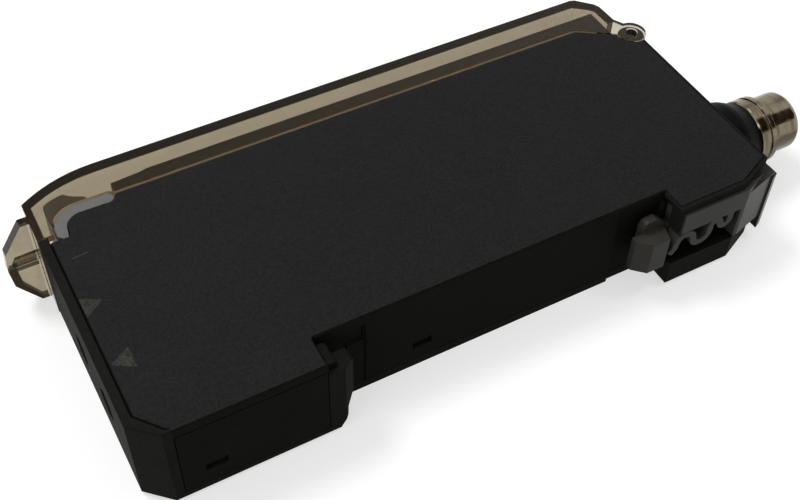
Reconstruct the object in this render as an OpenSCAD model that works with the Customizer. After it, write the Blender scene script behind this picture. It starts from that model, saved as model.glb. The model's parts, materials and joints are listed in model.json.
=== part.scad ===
// Slim fibre-optic sensor amplifier that clips on a mounting rail, lying on one broad side.
// X runs from the fibre end to the plug end, Y from the rail to the lid, Z through the thickness.
// The origin is the middle of the rail seat, at half the thickness. Lengths are millimetres.

/* [Housing] */
// Thickness across the two broad faces
housing_t = 10.4; // [10:0.1:14]
// Height from the rail seat to the top edge of the broad faces
housing_h = 23.5; // [23:0.25:28]
// Length of the foot at the fibre end
fibre_foot = 16.8; // [15.6:0.2:22]
// Length of the foot at the plug end
plug_foot = 11.6; // [11.4:0.1:15]
// Depth of the feet below the rail seat
foot_h = 3.1; // [3:0.05:3.8]
// Thickness of the floor of the case and of the cover plate
wall = 1.05; // [0.8:0.05:1.15]
// Thickness of the end walls and the top wall of the case
end_wall = 1.4; // [1.3:0.1:1.8]
// Width of the rim that the case leaves beside the cover at the fibre end
rim_w = 0.9; // [0.8:0.05:1.25]
// Size of the bevel along the edges of the broad faces
edge_bevel = 0.15; // [0.05:0.05:0.3]
// Seam between two pieces of the housing
seam = 0.08; // [0.04:0.01:0.12]

/* [Rail mounting] */
// Width of the mounting rail
rail_w = 35; // [33:0.5:38]
// Play between the rail and the faces that locate it
rail_play = 0.35; // [0.1:0.05:0.6]
// Thickness of the rail's edge under the hooks
rail_t = 1.15; // [1:0.05:1.3]
// Thickness of the bar that carries the fixed hook
hook_bar = 1.05; // [0.9:0.05:1.2]
// How far the fixed hook reaches under the rail
hook_reach = 1.6; // [1.4:0.1:2.2]
// How far the spring clip reaches into the notch
clip_reach = 4; // [3.5:0.05:4.3]
// Depth by which the floor of the notch lies back beside the rail seat
seat_relief = 0.25; // [0.15:0.05:0.4]
// Thickness of the clip's serpentine spring
spring_t = 0.7; // [0.4:0.05:0.8]
// Clearance round the sliding clip
clip_gap = 0.12; // [0.08:0.02:0.2]

/* [Lid] */
// Height of the lid above the broad faces
lid_h = 4.65; // [4.5:0.05:6]
// Thickness of the lid's roof
lid_wall = 1.05; // [0.8:0.05:1.1]
// Thickness of the lid's side flanges and end walls
lid_side = 0.7; // [0.6:0.05:0.8]
// Length of the finger tab on the lid
tab_len = 3.1; // [2:0.1:4]
// Thickness of the finger tab
tab_t = 1; // [0.7:0.1:1.3]
// Radius of the hinge pins
pin_r = 0.6; // [0.5:0.05:0.7]
// Radius of the lid's hinge eyes
eye_r = 1.55; // [1.4:0.05:1.6]
// Running clearance round the hinge pins
pin_gap = 0.05; // [0.03:0.01:0.08]
// Gap between the lid and what it closes on
lid_gap = 0.22; // [0.15:0.01:0.3]

/* [Fibre lever] */
// Width of the lever's band round the corner of the cover
lever_w = 1.15; // [0.9:0.05:1.2]
// Radius of the lever's pivot pins
lever_pin_r = 0.5; // [0.4:0.05:0.6]

/* [Fibre ports] */
// Radius of the fibre bores
fibre_r = 1.15; // [1.05:0.05:1.3]
// Height of the lower fibre bore
port_low_y = 5.4; // [4.8:0.1:6]
// Distance between the fibre bores
port_pitch = 6.4; // [5.8:0.1:7.5]

/* [Plug] */
// Height of the plug's axis above the rail seat
plug_y = 6.6; // [6.2:0.1:8]
// Radius of the plug's nose
nose_r = 3.05; // [2.9:0.05:3.15]
// Wall thickness of the metal sleeve
sleeve_wall = 0.45; // [0.35:0.05:0.5]
// Radius of the sleeve's ring
ring_r = 3.55; // [3.45:0.05:3.65]
// Length of the sleeve's ring
ring_len = 2.15; // [1.7:0.05:2.7]
// Length of the nose beyond the ring
nose_len = 3.2; // [2.6:0.1:5]
// Radius of the collar's flange
collar_r = 4.25; // [4.05:0.05:4.5]
// Length of the collar outside the case
collar_len = 4.15; // [3.6:0.05:5]
// Radius of a contact pin
contact_r = 0.4; // [0.3:0.05:0.45]
// Radius of the circle on which the contact pins stand
contact_circle = 1.35; // [1.15:0.05:1.45]

/* [Control panel] */
// Height of the control panel above the broad faces' top edge
panel_h = 2.2; // [2:0.05:2.3]
// Length of a button's cap along the panel
button_len = 2.5; // [2:0.1:2.6]
// Distance between neighbouring buttons
button_pitch = 4.2; // [4:0.1:4.6]
// Travel of a button
button_travel = 0.3; // [0.2:0.05:0.32]
// Clearance round a button's cap
button_gap = 0.15; // [0.1:0.01:0.2]
// Length of the display window
display_len = 19.5; // [15:0.5:20]

/* [Electronics] */
// Thickness of the circuit board
board_t = 1; // [0.8:0.1:1.2]
// Height of the posts that carry the circuit board
post_h = 1.1; // [0.8:0.1:1.4]

/* [Hidden] */

round_fn = 64;
small_fn = 40;
far = 20;

z_top = housing_t / 2;
z_low = -z_top;
z_plate = z_top - wall;
z_floor = z_low + wall;
z_lid = z_top - seam;
z_lid_in = z_lid - lid_side;
z_core = z_lid_in - 0.1;
z_ear = z_plate - seam;

x_notch = (rail_w + rail_play + hook_bar) / 2;
x_fibre = -x_notch - fibre_foot;
x_plug = x_notch + plug_foot;
y_top = housing_h;
y_foot = -foot_h;

base_bevel = 0.4;
fibre_cut = [2.3, 2.2];
plug_cut = [4.05, 1.65];
plug_rim = 0.3;
skirt_x = x_fibre + 3.15;
rim_end_y = y_top - 3.3;
rim_step_y = y_top - 2.6;
plate_low = [skirt_x - 0.4, -2.6];
plate_cut_y = -0.3;
seat_x0 = -x_notch + 3.2;
seat_x1 = x_notch - 4.8;
seat_taper = 0.06;
pad_x1 = seat_x0 + 1.6;
pad_z1 = z_top - 3.2;

hinge_x = x_plug - 0.4;
hinge_y = y_top - 2.8;
hinge_flat_y = hinge_y + 0.1;
eye_clear = eye_r + 0.2;
roof_y = y_top + lid_h;
ceiling_y = roof_y - lid_wall;
slope_x0 = hinge_x - 5.7;
slope_x1 = hinge_x - 1.5;
lid_low_y = y_top - 2.35;
lid_corner_y = roof_y - 2.2;

lever_pivot = [x_fibre + 7.2, y_top - 0.25];
lever_eye_r = 0.62;
lever_eye_clear = lever_eye_r + 0.08;
ear_r = 0.85;
ear_t = 0.95;
inner_corner_r = 1.5;
inner_corner = [x_fibre + 4.4, lever_pivot[1] - lever_eye_r - inner_corner_r];
outer_corner_r = inner_corner_r + lever_w - 0.2;
outer_corner = [inner_corner[0] - inner_corner_r - lever_w + outer_corner_r,
                inner_corner[1] + inner_corner_r + lever_w + 0.05 - outer_corner_r];
lever_top = outer_corner[1] + outer_corner_r;
lever_foot_y = y_top - 3.2;
band_x1 = lever_pivot[0] - ear_r - 0.15;

ring_x0 = x_plug + collar_len;
ring_x1 = ring_x0 + ring_len;
nose_x1 = ring_x1 + nose_len;
bore_r = nose_r - sleeve_wall;
neck_r = 3;
nut_t = 1.05;
nut_corner_r = 3.75;
spigot_r = nose_r - 0.05;

board_z1 = z_floor + post_h + board_t;
board_x0 = x_fibre + 10.2;
board_x1 = x_plug - 3.3;
board_y0 = end_wall + 0.2;
board_y1 = y_top - end_wall - 0.3;

panel_top = y_top + panel_h;
panel_x0 = lever_pivot[0] + 1;
panel_step_x = panel_x0 + 3.2;
panel_x1 = x_plug - 2.1;
buttons_x0 = slope_x0 - 3.1;
display_x1 = buttons_x0 - 2 * button_pitch - 3;
display_x0 = display_x1 - display_len;
window_margin = 0.6;
window_t = 0.9;
window_w = 6.1;
lens_r = 0.8;
lens_x = [display_x0 - 3.6, display_x0 - 1.6];
button_w = 4.3;
button_stem_r = 0.7;
stem_end_y = y_top - end_wall - 0.1;
flange_t = 0.4;
flange_w = 0.3;
flange_y = y_top + button_travel + 0.05;
pocket_h = flange_t + button_travel + 0.1;
cap_rise = 0.8;
arrow = [[-0.8, 0.7], [0.8, 0.7], [0, -0.9]];
bar_mark = [[-0.6, -1.1], [0.6, -1.1], [0.6, 1.1], [-0.6, 1.1]];

post_r = 1.3;
post_pin_r = 0.6;
board_posts_xy = [[board_x0 + 5.4, board_y0 + 2.2], [board_x0 + 5.4, board_y1 - 2.2],
                  [board_x1 - 4, board_y0 + 2.2], [board_x1 - 4, board_y1 - 5]];
opto_x0 = board_x0 + 0.5;
holder_top = y_top - 3.6;
chip_c = [-2, y_top / 2 - 0.6];
chip_half = 3.5;
leg_pitch = 0.6;
leg_len = 0.9;
leg_w = 0.24;
can_r = 2.2;
can_c = [board_x1 - 15, 6.4];
regulator_c = [board_x1 - 8.6, 13.4];

clip_z0 = z_low + 3.4;
clip_z1 = z_top - 0.57;
clip_ceiling = -0.35;
clip_top_y = clip_ceiling - clip_gap;
clip_tip = x_notch - clip_reach;
clip_bar_z0 = z_top - 3.1;
clip_bar_x0 = x_notch + plug_rim + 0.05;
clip_neck_y = -rail_t - 0.2;
rim_y = -2.85;
snap_w = 2;
snap_h = 1;
foot_snap = [x_fibre + 6.3, z_low + 3.4];
notch_snap = [-x_notch + 10.8, z_low + 3.1];

spring_bend = 0.98;
spring_end_bend = 0.57;
spring_x = 1.1;
spring_z = 0.62;
spring_rise = 0.6;
spring_path = concat(
    [[spring_x - spring_bend - 0.55, spring_z - 1.1], [spring_x - spring_bend - 0.1, spring_z - 0.5]],
    arc([spring_x, spring_z], spring_bend, 175, 0, 9),
    arc([spring_x + 2 * spring_bend, spring_z], spring_bend, 198, 360, 9),
    arc([spring_x + 3 * spring_bend + spring_end_bend, spring_z + spring_rise], spring_end_bend, 180, 0, 8),
    arc([spring_x + 3 * spring_bend + 3 * spring_end_bend, spring_z + spring_rise],
        spring_end_bend, 202, 360, 7),
    [[spring_x + 3 * spring_bend + 4 * spring_end_bend, spring_z + spring_rise + 0.9]]);

// Points along an arc from angle a0 to angle a1
function arc(c, r, a0, a1, n = 8) =
    [for (i = [0 : n]) let (a = a0 + (a1 - a0) * i / n) [c[0] + r * cos(a), c[1] + r * sin(a)]];

// Points along a curve that leaves p towards q and arrives at s from q
function bend(p, q, s, n = 6) =
    [for (i = [0 : n]) let (t = i / n) (1 - t) * (1 - t) * p + 2 * t * (1 - t) * q + t * t * s];

// The unit vector across a curve at one of its points
function across(p, i) =
    let (d = p[min(i + 1, len(p) - 1)] - p[max(i - 1, 0)]) [-d[1], d[0]] / norm(d);

// The same points in the other order
function reversed(p) = [for (i = [len(p) - 1 : -1 : 0]) p[i]];

// The outline of a ribbon of width w along a curve
function ribbon(p, w) = concat(
    [for (i = [0 : len(p) - 1]) p[i] + across(p, i) * w / 2],
    reversed([for (i = [0 : len(p) - 1]) p[i] - across(p, i) * w / 2]));

// A plate with the given outline in X and Y, between two heights
module slab(points, z0, z1) {
    translate([0, 0, z0])
        linear_extrude(z1 - z0)
            polygon(points);
}

// A bar with the given outline in X and Z, between two stations along Y
module slab_y(points, y0, y1) {
    translate([0, y1, 0])
        rotate([90, 0, 0])
            linear_extrude(y1 - y0)
                polygon(points);
}

// A bar with the given outline in Y and Z, between two stations along X
module slab_x(points, x0, x1) {
    translate([x0, 0, 0])
        rotate([90, 0, 90])
            linear_extrude(x1 - x0)
                polygon(points);
}

// A block between two opposite corners
module block(low, high) {
    translate(low)
        cube(high - low);
}

// A round bar along X
module rod_x(x0, x1, y, z, r, fn = round_fn) {
    translate([x0, y, z])
        rotate([0, 90, 0])
            cylinder(h = x1 - x0, r = r, $fn = fn);
}

// A round bar along Y
module rod_y(y0, y1, x, z, r, fn = small_fn) {
    translate([x, y1, z])
        rotate([90, 0, 0])
            cylinder(h = y1 - y0, r = r, $fn = fn);
}

// A round bar along Z
module rod_z(z0, z1, x, y, r, fn = small_fn) {
    translate([x, y, z0])
        cylinder(h = z1 - z0, r = r, $fn = fn);
}

// The same piece on both broad sides
module both_sides() {
    children();
    mirror([0, 0, 1])
        children();
}

// The cut that bevels the edge from p to q of a face at height z, with the piece on its left.
// It runs on by e0 before p and by e1 past q.
module edge_cut(p, q, z, b, e0 = 0.5, e1 = 0.5) {
    d = q - p;
    s = 0.5;
    up = sign(z);
    translate([p[0], p[1], z])
        rotate([0, 0, atan2(d[1], d[0])])
            slab_x([[b + s, up * s], [-s, up * s], [-s, -up * (b + s)]], -e0, norm(d) + e1);
}

// The cuts that bevel every edge along a row of points that turns inwards at each point
module edge_cuts(points, z, b, e0 = 0.5, e1 = 0.5) {
    for (i = [0 : len(points) - 2])
        edge_cut(points[i], points[i + 1], z, b, i == 0 ? e0 : 0.5, i == len(points) - 2 ? e1 : 0.5);
}

// The corner of the broad face that the lever wraps round, from its foot to the top edge
function corner_points() = concat(
    [[x_fibre + 2.75, rim_end_y]],
    arc(inner_corner, inner_corner_r, 180, 90, 7),
    arc(lever_pivot, lever_eye_clear, 270, 350, 5),
    [[lever_pivot[0] + lever_eye_clear + 0.4, y_top]]);

// The corner of the foot at the plug end, grown by g
function plug_foot_points(g) = [
    [x_plug - plug_rim - plug_cut[0] + 0.4 + g, -2.2 - g],
    [x_plug - plug_rim + g, -0.6 - g]];

// The outline of the whole case
function case_outline() = concat(
    [[x_fibre, rim_step_y],
     [x_fibre, y_foot + fibre_cut[1]],
     [x_fibre + fibre_cut[0], y_foot],
     [-x_notch, y_foot],
     [-x_notch, seat_relief],
     [seat_x0, seat_relief],
     [seat_x0, 0],
     [seat_x1, 0],
     [seat_x1, seat_relief],
     [x_notch, seat_relief],
     [x_notch, y_foot],
     [x_plug - plug_cut[0], y_foot],
     [x_plug - 0.4, y_foot + plug_cut[1]],
     [x_plug, y_foot + plug_cut[1] + 0.6],
     [x_plug, hinge_flat_y],
     [slope_x1, hinge_flat_y],
     [slope_x0, y_top]],
    reversed(corner_points()),
    [[x_fibre + rim_w, rim_end_y],
     [x_fibre + rim_w, rim_step_y]]);

// The outline of the cover plate, grown by g on the sides where the case has a rim
function plate_outline(g) = concat(
    [[x_fibre + rim_w - g, rim_end_y],
     [x_fibre + rim_w - g, plate_cut_y - 0.4 * g],
     [plate_low[0] - 0.4 * g, plate_low[1] - g],
     [skirt_x, plate_low[1] - g],
     [skirt_x, y_foot],
     [-x_notch, y_foot],
     [-x_notch, seat_taper],
     [seat_x0, 0],
     [seat_x1, 0],
     [x_notch + plug_rim - g, seat_taper],
     [x_notch + plug_rim - g, -2.2 - g]],
    plug_foot_points(g),
    [[x_plug - plug_rim + g, hinge_flat_y],
     [slope_x1, hinge_flat_y],
     [slope_x0, y_top]],
    reversed(corner_points()));

// The hollow of the case between its floor and the cover plate
function case_hollow() = [
    [x_fibre + end_wall, y_top - end_wall],
    [x_fibre + end_wall, -0.6],
    [x_fibre + end_wall + 1.9, y_foot + end_wall],
    [-x_notch - end_wall, y_foot + end_wall],
    [-x_notch - end_wall, end_wall],
    [x_plug - end_wall + 0.4, end_wall],
    [x_plug - end_wall + 0.4, hinge_y - 1.6],
    [slope_x1 - 0.8, hinge_y - 0.8],
    [slope_x0 - 0.6, y_top - end_wall]];

// The fixed hook: a bar down the side of the notch with a nose that reaches under the rail
module fixed_hook() {
    bar_x = -x_notch + hook_bar;
    root_x = -x_notch - end_wall;
    tip_x = bar_x + hook_reach;
    nose_z0 = z_low + 0.5;
    nose_z1 = z_plate - 0.35;
    fin_z1 = z_plate + 0.25;
    // root of the bar on the floor, behind the cover's skirt and wall
    slab([[root_x, y_foot + wall], [-x_notch, y_foot + wall], [-x_notch, y_foot], [bar_x, y_foot],
          [bar_x, end_wall], [root_x, end_wall]], z_floor - 0.1, nose_z1);
    difference() {
        block([-x_notch - 1, y_foot, z_low], [bar_x, seat_relief + 1, z_floor - 0.02]);
        edge_cut([-x_notch - 2, y_foot], [bar_x, y_foot], z_low, base_bevel);
        edge_cut([bar_x, y_foot], [bar_x, seat_relief], z_low, base_bevel, 0.5, 0);
    }
    // rounded fin on top of the bar
    slab_y([[-x_notch + 0.05, nose_z1 - 0.1], [bar_x, nose_z1 - 0.1], [bar_x, fin_z1 - 0.2],
            [bar_x - 0.2, fin_z1], [-x_notch + 0.2, fin_z1], [-x_notch + 0.05, fin_z1 - 0.15]],
           y_foot + 0.6, -0.2);
    // nose with a slanted front corner, stepped back towards the table side
    intersection() {
        slab([[-x_notch, -rail_t], [tip_x, -rail_t], [tip_x, -2.3], [tip_x - 1.1, y_foot],
              [-x_notch, y_foot]], nose_z0, nose_z1);
        slab_y([[-x_notch, nose_z0], [bar_x, nose_z0], [tip_x - 0.85, z_low + 1.7],
                [tip_x - 0.8, z_low + 2.9], [tip_x, z_low + 4.3], [tip_x, nose_z1 - 0.35],
                [tip_x - 0.3, nose_z1], [-x_notch, nose_z1]], y_foot, 0);
    }
}

// Room inside the foot at the plug end for the sliding clip
module clip_room() {
    block([x_notch - 1, y_foot - 1, clip_z0 - clip_gap], [x_plug + 1, clip_ceiling, z_plate + far]);
}

// Ears on the top wall that carry the lever's pivot pins
module lever_ears() {
    both_sides()
        difference() {
            union() {
                rod_z(z_ear - ear_t, z_ear, lever_pivot[0], lever_pivot[1], ear_r);
                block([lever_pivot[0] - 0.8, y_top - end_wall, z_ear - ear_t],
                      [lever_pivot[0] + 1.2, lever_pivot[1], z_ear]);
            }
            rod_z(z_ear - 2, z_ear + 1, lever_pivot[0], lever_pivot[1], lever_pin_r + pin_gap);
        }
}

// Lug at the plug end with a hinge pin on both sides
module hinge_lug() {
    lug_r = eye_r - 0.15;
    rod_z(-z_core, z_core, hinge_x, hinge_y, lug_r);
    block([hinge_x - lug_r, hinge_y - 4, -z_ear], [x_plug, hinge_y, z_ear]);
    block([slope_x1 - 1.5, hinge_y - 2.2, -z_ear], [hinge_x, hinge_y - 0.3, z_ear]);
    rod_z(-z_top + 0.2, z_top - 0.2, hinge_x, hinge_y, pin_r);
}

// Posts that carry the circuit board
module board_posts() {
    for (p = board_posts_xy) {
        rod_z(z_floor - 0.1, z_floor + post_h, p[0], p[1], post_r);
        rod_z(z_floor, board_z1 + 0.5, p[0], p[1], post_pin_r);
    }
}

// Noses of the case that show in the cover's snap windows
module snap_noses() {
    block([foot_snap[0] - snap_w / 2 + 0.1, y_foot + 0.35, foot_snap[1] - snap_h / 2 + 0.1],
          [foot_snap[0] + snap_w / 2 - 0.1, y_foot + end_wall + 0.9, foot_snap[1] + snap_h / 2 - 0.1]);
    block([foot_snap[0] - snap_w / 2 + 0.1, y_foot + end_wall, z_floor - 0.1],
          [foot_snap[0] + snap_w / 2 - 0.1, y_foot + end_wall + 0.9, foot_snap[1] + snap_h / 2 - 0.1]);
    block([notch_snap[0] - snap_w / 2 + 0.1, 0.4, notch_snap[1] - snap_h / 2 + 0.1],
          [notch_snap[0] + snap_w / 2 - 0.1, end_wall + 0.9, notch_snap[1] + snap_h / 2 - 0.1]);
    block([notch_snap[0] - snap_w / 2 + 0.1, end_wall + seam, z_floor - 0.1],
          [notch_snap[0] + snap_w / 2 - 0.1, end_wall + 0.9, notch_snap[1] + snap_h / 2 - 0.1]);
}

// The case: floor, end walls, top wall, rim, feet and fixed hook in one moulding
module case() {
    color("#232427")
        difference() {
            union() {
                difference() {
                    slab(case_outline(), z_low, z_top);
                    slab(plate_outline(seam), z_plate, z_top + 1);
                    // recess of the cover plate over the relief of the notch
                    block([-x_notch, -1, z_plate], [x_notch + plug_rim - seam, end_wall, z_top + 1]);
                    slab(case_hollow(), z_floor, z_top + 1);
                    // the cover's skirt on the foot and its wall along the notch
                    block([skirt_x, y_foot - 1, z_floor], [-x_notch + far, y_foot + end_wall, z_top + 1]);
                    block([-x_notch - end_wall, y_foot - 1, z_floor],
                          [x_notch, end_wall, z_top + 1]);
                    clip_room();
                    edge_cuts([[x_fibre, y_top], [x_fibre, y_foot + fibre_cut[1]],
                               [x_fibre + fibre_cut[0], y_foot], [-x_notch, y_foot]], z_low, base_bevel);
                    edge_cuts([[x_fibre, y_top], [x_fibre, y_foot + fibre_cut[1]],
                               [x_fibre + fibre_cut[0], y_foot], [skirt_x, y_foot]], z_top, edge_bevel);
                    edge_cuts([[x_notch, seat_relief], [x_notch, y_foot],
                               [x_plug - plug_cut[0], y_foot], [x_plug - 0.4, y_foot + plug_cut[1]],
                               [x_plug, y_foot + plug_cut[1] + 0.6], [x_plug, hinge_flat_y]],
                              z_low, base_bevel, 0);
                }
                // ceiling over the clip
                slab([[x_notch, clip_ceiling], [x_plug - 0.1, clip_ceiling],
                      [x_plug - 0.1, end_wall], [x_notch, end_wall]], z_floor - 0.1, z_plate);
                clip_rim();
                fixed_hook();
                lever_ears();
                hinge_lug();
                board_posts();
                snap_noses();
            }
            // fibre ports with a lead-in
            for (y = [port_low_y, port_low_y + port_pitch]) {
                rod_x(x_fibre - 1, x_fibre + end_wall + 1, y, 0, fibre_r);
                translate([x_fibre - 0.01, y, 0])
                    rotate([0, 90, 0])
                        cylinder(h = 0.4, r1 = fibre_r + 0.4, r2 = fibre_r, $fn = round_fn);
            }
            // bore for the plug's neck
            rod_x(x_plug - end_wall - 1, x_plug + 1, plug_y, 0, neck_r + 0.05);
            // room for the lid's hinge eyes and for the lever
            both_sides()
                difference() {
                    rod_z(z_core + 0.02, z_top + 1, hinge_x, hinge_y, eye_clear);
                    rod_z(z_core, z_top + 1, hinge_x, hinge_y, pin_r);
                }
            block([x_fibre + end_wall, y_top - end_wall - 1.9, -z_plate],
                  [lever_pivot[0] - ear_r - 0.1, y_top + 1, z_plate]);
            block([lever_pivot[0] - ear_r - 0.2, lever_pivot[1] - 1.1, -z_ear + ear_t],
                  [lever_pivot[0] + 1.1, y_top + 3, z_ear - ear_t]);
            panel_openings();
        }
}

// Opening for the display module, narrower than its window all round
module display_opening(y0, y1) {
    half_w = window_w / 2 - window_margin;
    block([display_x0 + window_margin, y0, -half_w], [display_x1 - window_margin, y1, half_w]);
}

// Openings in the top wall under the control panel
module panel_openings() {
    display_opening(y_top - end_wall - 1, y_top + 1);
    for (x = lens_x)
        rod_y(y_top - end_wall - 1, y_top + 1, x, 0, lens_r + 0.05);
    for (i = [0 : 2])
        rod_y(y_top - end_wall - 1, y_top + 1, buttons_x0 - i * button_pitch, 0, button_stem_r + 0.15);
}

// Thin rim beside the cover over the clip
module clip_rim() {
    difference() {
        slab([[x_notch, -seam], [x_notch, rim_y], [x_plug - plug_cut[0] - 0.2, rim_y],
              [x_plug - 0.3, y_foot + plug_cut[1] + 0.3], [x_plug, y_foot + plug_cut[1] + 0.6],
              [x_plug, 0.5], [x_notch + plug_rim, 0.5], [x_notch + plug_rim, -seam]],
             clip_z1 + clip_gap, z_top);
        slab(plate_outline(seam), z_low, z_top + 1);
        edge_cuts([[x_notch, 0], [x_notch, rim_y], [x_plug - plug_cut[0] - 0.2, rim_y],
                   [x_plug, y_foot + plug_cut[1]]], z_top, 0.15);
    }
    // short wall that covers the end of the clip's bar
    block([x_notch, rim_y, clip_bar_z0 + 0.15], [x_notch + plug_rim - 0.05, clip_neck_y - 0.1, z_top - 0.2]);
    // end wall beside the cover, down to the clip
    block([x_plug - plug_rim + seam, -0.3, z_floor], [x_plug, end_wall, z_top]);
}

// The cover: broad plate, skirt over the foot at the fibre end and wall along the notch
module side_cover() {
    skirt_y = y_foot + wall - 0.2;
    color("#26272a")
        difference() {
            union() {
                difference() {
                    slab(plate_outline(0), z_plate, z_top);
                    edge_cuts([[x_fibre + rim_w, rim_end_y], [x_fibre + rim_w, plate_cut_y], plate_low],
                              z_top, 0.15, 0.5, 0.2);
                    edge_cuts([[skirt_x, y_foot], [-x_notch, y_foot], [-x_notch, 0]],
                              z_top, edge_bevel, 0.5, 0);
                    edge_cut([-x_notch, seat_taper], [x_notch + plug_rim, seat_taper],
                             z_top, edge_bevel, 0, 0);
                    edge_cut([slope_x0, y_top], [lever_pivot[0] + 1.3, y_top], z_top, edge_bevel);
                }
                // skirt
                slab([[skirt_x + seam, y_foot], [-x_notch - seam, y_foot],
                      [-x_notch - seam, skirt_y], [skirt_x + seam, skirt_y]], z_floor + seam, z_plate + 0.1);
                // wall along the notch with the raised rail seat
                slab([[-x_notch + hook_bar + seam, seat_relief], [seat_x0, seat_relief], [seat_x0, 0],
                      [seat_x1, 0], [seat_x1, seat_relief], [x_notch - seam, seat_relief],
                      [x_notch - seam, end_wall], [-x_notch + hook_bar + seam, end_wall]],
                     z_floor + seam, z_plate + 0.1);
            }
            // snap windows
            block([foot_snap[0] - snap_w / 2, y_foot - 1, foot_snap[1] - snap_h / 2],
                  [foot_snap[0] + snap_w / 2, y_foot + 2, foot_snap[1] + snap_h / 2]);
            block([notch_snap[0] - snap_w / 2, -1, notch_snap[1] - snap_h / 2],
                  [notch_snap[0] + snap_w / 2, 2, notch_snap[1] + snap_h / 2]);
            // recess over the pad beside the fixed hook, and the groove along the pad
            block([seat_x0 - 0.1, -1, pad_z1], [pad_x1, seat_relief, z_plate]);
            block([pad_x1, -1, z_floor], [pad_x1 + 0.2, 0.12, z_plate]);
            // shadow groove under the plate's lower edge
            block([skirt_x, y_foot - 1, z_plate - 0.05], [-x_notch, y_foot + 0.18, z_plate + 0.1]);
            // clearance round the hinge eye
            rod_z(z_plate - 1, z_top + 1, hinge_x, hinge_y, eye_clear);
        }
}

// The lid's outline over the roof, from the fibre end to the plug end
function lid_outer() = concat(
    [[x_fibre - 0.05, lid_low_y]],
    bend([x_fibre, lid_corner_y], [x_fibre + 3.4, roof_y], [x_fibre + 7.4, roof_y], 7),
    [[x_plug - 3.3, roof_y], [x_plug - 2.8, roof_y - 0.15], [x_plug - 1.25, roof_y - 1.75],
     [x_plug - 1, roof_y - 2.4]]);

// The lid's outline under the roof
function lid_inner() = concat(
    [[x_fibre - 0.05 + lid_side, lid_low_y]],
    bend([x_fibre + lid_side, lid_corner_y - lid_wall + 0.4], [x_fibre + 3.6, ceiling_y],
         [x_fibre + 7.4, ceiling_y], 7),
    [[x_plug - 3.5, ceiling_y], [x_plug - 2.15, ceiling_y - 1.1],
     [x_plug - 1 - lid_side, roof_y - 2.7]]);

// The smoked lid: roof, two side flanges, end walls, hinge eyes and finger tab
module lid() {
    arm = [x_plug - 0.9, y_top - 0.2];
    tab_y = y_top - 0.1;
    tab_half = 2.15;
    rib_half = 0.3;
    color("#6b5a45", 0.5)
        difference() {
            union() {
                // roof and end walls
                slab(concat(lid_outer(), [arm, [arm[0] - lid_side, arm[1]]], reversed(lid_inner())),
                     -z_lid, z_lid);
                // side flanges
                both_sides()
                    slab(concat(
                        lid_outer(),
                        [arm, [hinge_x + 0.1, hinge_y + eye_r - 0.05],
                         [hinge_x - 0.3, hinge_y], [slope_x1 - 0.1 + lid_gap, hinge_flat_y + lid_gap],
                         [slope_x0 + lid_gap, y_top + lid_gap],
                         [lever_pivot[0] + lever_eye_r + lid_gap, y_top + lid_gap],
                         [lever_pivot[0] + 0.3, lever_top + lid_gap]],
                        arc(outer_corner, outer_corner_r + lid_gap, 90, 180, 8),
                        [[outer_corner[0] - outer_corner_r - lid_gap, lid_low_y]]),
                        z_lid_in, z_lid);
                // hinge eyes
                both_sides()
                    rod_z(z_lid_in, z_lid, hinge_x, hinge_y, eye_r);
                // finger tab with a rib on its back
                slab_y([[x_fibre + 0.5, -z_lid], [x_fibre + 0.5, z_lid], [x_fibre - 0.9, z_lid],
                        [x_fibre - tab_len + 0.2, tab_half], [x_fibre - tab_len, 0],
                        [x_fibre - tab_len + 0.2, -tab_half], [x_fibre - 0.9, -z_lid]],
                       tab_y, tab_y + tab_t);
                slab([[x_fibre + 0.4, tab_y], [x_fibre + 0.4, tab_y + tab_t + 0.8],
                      [x_fibre - tab_len + 1, tab_y + tab_t + 0.7],
                      [x_fibre - tab_len + 0.5, tab_y + tab_t - 0.1]], -rib_half, rib_half);
            }
            both_sides()
                rod_z(z_lid_in - 1, z_top + 1, hinge_x, hinge_y, pin_r + pin_gap);
        }
}

// The inner outline of the lever's band, against the corner of the cover
function lever_inner() = concat(
    [[x_fibre + 2.75 - 0.1, lever_foot_y]],
    arc(inner_corner, inner_corner_r + 0.1, 180, 90, 7),
    [[band_x1, inner_corner[1] + inner_corner_r + 0.1]]);

// The outer outline of the lever's band
function lever_outer() = concat(
    [[outer_corner[0] - outer_corner_r + 0.45, lever_foot_y],
     [outer_corner[0] - outer_corner_r, lever_foot_y + 0.5]],
    arc(outer_corner, outer_corner_r, 180, 90, 9),
    [[band_x1, lever_top]]);

// The grip that stands on the band under the lid
function lever_grip() = [
    for (p = [[1.65, -2.6], [1.65, 1.6], [1.8, 1.95], [2.2, 2.2], [3.1, 2.5], [3.8, 2.6], [4.2, 2.2],
              [4.65, 1.85], [5.4, 1.5], [5.7, 1.1], [5.8, 0], [2.9, 0], [2.3, -0.6], [2.2, -2.6]])
        [x_fibre + p[0], y_top + p[1]]];

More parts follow.
